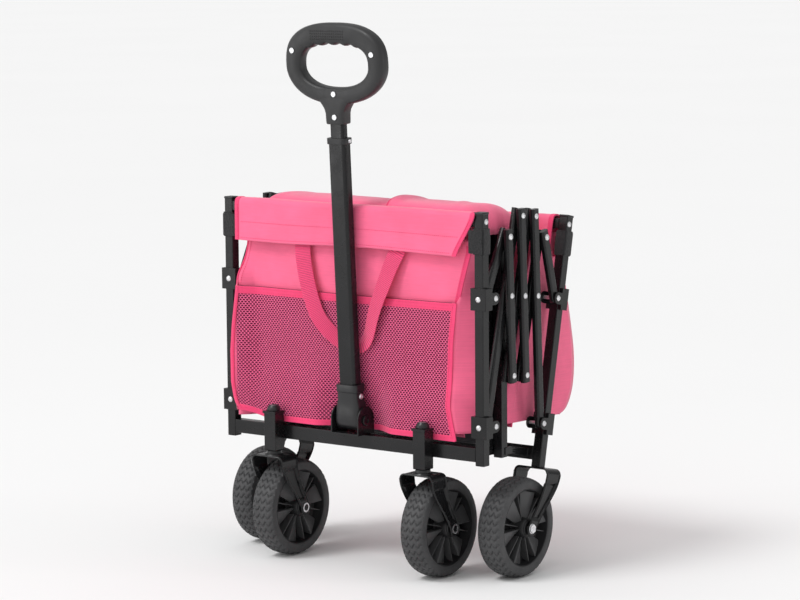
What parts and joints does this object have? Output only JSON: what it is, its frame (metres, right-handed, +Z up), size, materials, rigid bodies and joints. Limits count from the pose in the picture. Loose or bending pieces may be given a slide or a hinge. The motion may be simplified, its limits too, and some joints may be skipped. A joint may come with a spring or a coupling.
{
  "type": "folding camp wagon",
  "caption": "Folding camp wagon with a scissor-linked steel frame, fabric bag, swivelling front casters and a telescoping pull handle, shown folded.",
  "frame": {"origin": "centre of the bounding box on the ground, with the wagon folded and standing on its wheels", "axes": "+Z up; +X across the wagon to the right as seen from the handle side; the handle is at -Y and the rear frame at +Y"},
  "size_m": [0.594, 0.3714, 0.9127],
  "materials": {
    "frame_steel": "satin charcoal powder coat",
    "rivet_steel": "bright zinc",
    "grip_plastic": "fine moulded texture",
    "black_plastic": "satin moulded",
    "tyre_rubber": "matt grey-black",
    "pink_fabric": "coated oxford weave",
    "pocket_mesh": "open honeycomb mesh over lining",
    "strap_webbing": "nylon hook and loop, with pink carry webbing",
    "floor_fabric": "coated oxford over a stiff board"
  },
  "bodies": {
    "front_frame": {"front_left_post": "frame_steel", "front_right_post": "frame_steel", "front_bottom_rail": "frame_steel", "front_top_rail": "frame_steel", "front_brackets": "frame_steel", "front_rivets": "rivet_steel", "handle_bracket": "frame_steel", "caster_sockets": "frame_steel", "front_panel": "pink_fabric", "front_pocket": "pocket_mesh", "front_straps": "strap_webbing"},
    "left_caster": {"left_caster_fork": "frame_steel"},
    "right_caster": {"right_caster_fork": "frame_steel"},
    "left_caster_wheel": {"left_caster_rim": "black_plastic", "left_caster_tyre": "tyre_rubber"},
    "right_caster_wheel": {"right_caster_rim": "black_plastic", "right_caster_tyre": "tyre_rubber"},
    "handle_arm": {"handle_knuckle": "grip_plastic", "handle_outer_tube": "frame_steel", "handle_collar": "black_plastic"},
    "handle_button": {"handle_button": "rivet_steel"},
    "handle_rod": {"handle_inner_tube": "frame_steel", "handle_grip": "grip_plastic", "grip_screws": "rivet_steel"},
    "rear_frame": {"rear_left_post": "frame_steel", "rear_right_post": "frame_steel", "rear_bottom_rail": "frame_steel", "rear_top_rail": "frame_steel", "rear_brackets": "frame_steel", "rear_rivets": "rivet_steel", "rear_forks": "frame_steel", "rear_axles": "rivet_steel", "rear_panel": "pink_fabric", "rear_straps": "strap_webbing"},
    "left_rear_wheel": {"left_rear_rim": "black_plastic", "left_rear_tyre": "tyre_rubber"},
    "right_rear_wheel": {"right_rear_rim": "black_plastic", "right_rear_tyre": "tyre_rubber"},
    "front_long": {"front_long_bars": "frame_steel", "front_long_rivets": "rivet_steel"},
    "front_cross": {"front_cross_bars": "frame_steel", "front_cross_rivets": "rivet_steel"},
    "middle_cross": {"middle_cross_bars": "frame_steel", "middle_cross_rivets": "rivet_steel"},
    "middle_long": {"middle_long_bars": "frame_steel", "middle_long_rivets": "rivet_steel"},
    "rear_long": {"rear_long_bars": "frame_steel", "rear_long_rivets": "rivet_steel"},
    "rear_cross": {"rear_cross_bars": "frame_steel"},
    "front_short": {"front_short_links": "frame_steel"},
    "rear_short": {"rear_short_links": "frame_steel"},
    "front_floor_half": {"front_floor_bars": "frame_steel", "front_floor": "floor_fabric"},
    "rear_floor_half": {"rear_floor_bars": "frame_steel", "rear_floor": "floor_fabric"},
    "right_front_wall": {"right_front_wall": "pink_fabric"},
    "left_front_wall": {"left_front_wall": "pink_fabric"},
    "right_rear_wall": {"right_rear_wall": "pink_fabric"},
    "left_rear_wall": {"left_rear_wall": "pink_fabric"}
  },
  "joints": [
    {"name": "fold", "type": "hinge", "parent": "front_frame", "child": "front_long", "pos_m": [0, -0.10725, 0.262], "axis": [-1, 0, 0], "range_deg": [0, 43.22]},
    {"name": "front_cross_pivot", "type": "hinge", "parent": "front_long", "child": "front_cross", "pos_m": [0, -0.05475, 0.46946], "axis": [-1, 0, 0], "range_deg": [-98.24, 0]},
    {"name": "middle_cross_pivot", "type": "hinge", "parent": "front_long", "child": "middle_cross", "pos_m": [0, -0.02237, 0.59743], "axis": [-1, 0, 0], "range_deg": [-98.24, 0]},
    {"name": "middle_long_pivot", "type": "hinge", "parent": "middle_cross", "child": "middle_long", "pos_m": [0, -0.01685, 0.46554], "axis": [-1, 0, 0], "range_deg": [0, 98.24]},
    {"name": "rear_long_pivot", "type": "hinge", "parent": "middle_long", "child": "rear_long", "pos_m": [0, 0.01554, 0.59351], "axis": [-1, 0, 0], "range_deg": [-98.24, 0]},
    {"name": "rear_cross_pivot", "type": "hinge", "parent": "rear_long", "child": "rear_cross", "pos_m": [0, 0.02106, 0.46163], "axis": [-1, 0, 0], "range_deg": [0, 98.24]},
    {"name": "rear_frame_pivot", "type": "hinge", "parent": "rear_long", "child": "rear_frame", "pos_m": [0, 0.03002, 0.24781], "axis": [-1, 0, 0], "range_deg": [0, 43.23]},
    {"name": "front_link_pivot", "type": "hinge", "parent": "front_frame", "child": "front_short", "pos_m": [0, -0.10725, 0.471], "axis": [-1, 0, 0], "range_deg": [0, 85.92]},
    {"name": "rear_link_pivot", "type": "hinge", "parent": "rear_frame", "child": "rear_short", "pos_m": [0, 0.07276, 0.4524], "axis": [-1, 0, 0], "range_deg": [-85.92, 0]},
    {"name": "front_floor_pivot", "type": "hinge", "parent": "front_frame", "child": "front_floor_half", "pos_m": [0, -0.06325, 0.212], "axis": [-1, 0, 0], "range_deg": [0, 90.01]},
    {"name": "rear_floor_pivot", "type": "hinge", "parent": "rear_frame", "child": "rear_floor_half", "pos_m": [0, -0.02327, 0.20787], "axis": [-1, 0, 0], "range_deg": [-78.21, 0]},
    {"name": "right_front_wall_fold", "type": "hinge", "parent": "front_frame", "child": "right_front_wall", "pos_m": [0.238, -0.07625, 0.255], "axis": [0, 0, 1], "range_deg": [-90.01, 0], "deforming": ["right_front_wall"]},
    {"name": "left_front_wall_fold", "type": "hinge", "parent": "front_frame", "child": "left_front_wall", "pos_m": [-0.238, -0.07025, 0.255], "axis": [0, 0, 1], "range_deg": [0, 90.01], "deforming": ["left_front_wall"]},
    {"name": "right_rear_wall_fold", "type": "hinge", "parent": "rear_frame", "child": "right_rear_wall", "pos_m": [0.238, -0.00326, 0.25477], "axis": [0, 0.2045, 0.9789], "range_deg": [0, 90.01], "deforming": ["right_rear_wall"]},
    {"name": "left_rear_wall_fold", "type": "hinge", "parent": "rear_frame", "child": "left_rear_wall", "pos_m": [-0.238, -0.01011, 0.2562], "axis": [0, 0.2045, 0.9789], "range_deg": [-90.01, 0], "deforming": ["left_rear_wall"]},
    {"name": "right_caster_swivel", "type": "hinge", "parent": "front_frame", "child": "right_caster", "pos_m": [0.157, -0.14675, 0.176], "axis": [0, 0, 1], "range_deg": [-22, 265]},
    {"name": "right_caster_wheel_spin", "type": "hinge", "parent": "right_caster", "child": "right_caster_wheel", "pos_m": [0.157, -0.10275, 0.083], "axis": [1, 0, 0], "continuous": true},
    {"name": "right_rear_wheel_spin", "type": "hinge", "parent": "rear_frame", "child": "right_rear_wheel", "pos_m": [0.2615, -0.03199, 0.083], "axis": [1, 0, 0], "continuous": true},
    {"name": "left_caster_swivel", "type": "hinge", "parent": "front_frame", "child": "left_caster", "pos_m": [-0.157, -0.14675, 0.176], "axis": [0, 0, 1], "range_deg": [-265, 22]},
    {"name": "left_caster_wheel_spin", "type": "hinge", "parent": "left_caster", "child": "left_caster_wheel", "pos_m": [-0.157, -0.10275, 0.083], "axis": [1, 0, 0], "continuous": true},
    {"name": "left_rear_wheel_spin", "type": "hinge", "parent": "rear_frame", "child": "left_rear_wheel", "pos_m": [-0.2615, -0.03199, 0.083], "axis": [1, 0, 0], "continuous": true},
    {"name": "handle_tilt", "type": "hinge", "parent": "front_frame", "child": "handle_arm", "pos_m": [0, -0.13275, 0.252], "axis": [1, 0, 0], "range_deg": [0, 90]},
    {"name": "handle_telescope", "type": "slide", "parent": "handle_arm", "child": "handle_rod", "axis": [0, -0.0558, 0.9984], "range_m": [0, 0.3]},
    {"name": "handle_button_press", "type": "slide", "parent": "handle_arm", "child": "handle_button", "axis": [-1, 0, 0], "range_m": [0, 0.0025], "stiffness_N_per_m": 300}
  ],
  "couplings": [
    {"joint": "front_cross_pivot", "follows": "fold", "ratio": -2.273},
    {"joint": "middle_cross_pivot", "follows": "fold", "ratio": -2.273},
    {"joint": "middle_long_pivot", "follows": "fold", "ratio": 2.273},
    {"joint": "rear_long_pivot", "follows": "fold", "ratio": -2.273},
    {"joint": "rear_cross_pivot", "follows": "fold", "ratio": 2.273},
    {"joint": "rear_frame_pivot", "follows": "fold", "ratio": 1},
    {"joint": "front_link_pivot", "follows": "fold", "ratio": 1.988},
    {"joint": "rear_link_pivot", "follows": "fold", "ratio": -1.988},
    {"joint": "front_floor_pivot", "follows": "fold", "ratio": 2.0826},
    {"joint": "rear_floor_pivot", "follows": "fold", "ratio": -1.8095},
    {"joint": "right_front_wall_fold", "follows": "fold", "ratio": -2.0826},
    {"joint": "left_front_wall_fold", "follows": "fold", "ratio": 2.0826},
    {"joint": "right_rear_wall_fold", "follows": "fold", "ratio": 2.0826},
    {"joint": "left_rear_wall_fold", "follows": "fold", "ratio": -2.0826}
  ]
}
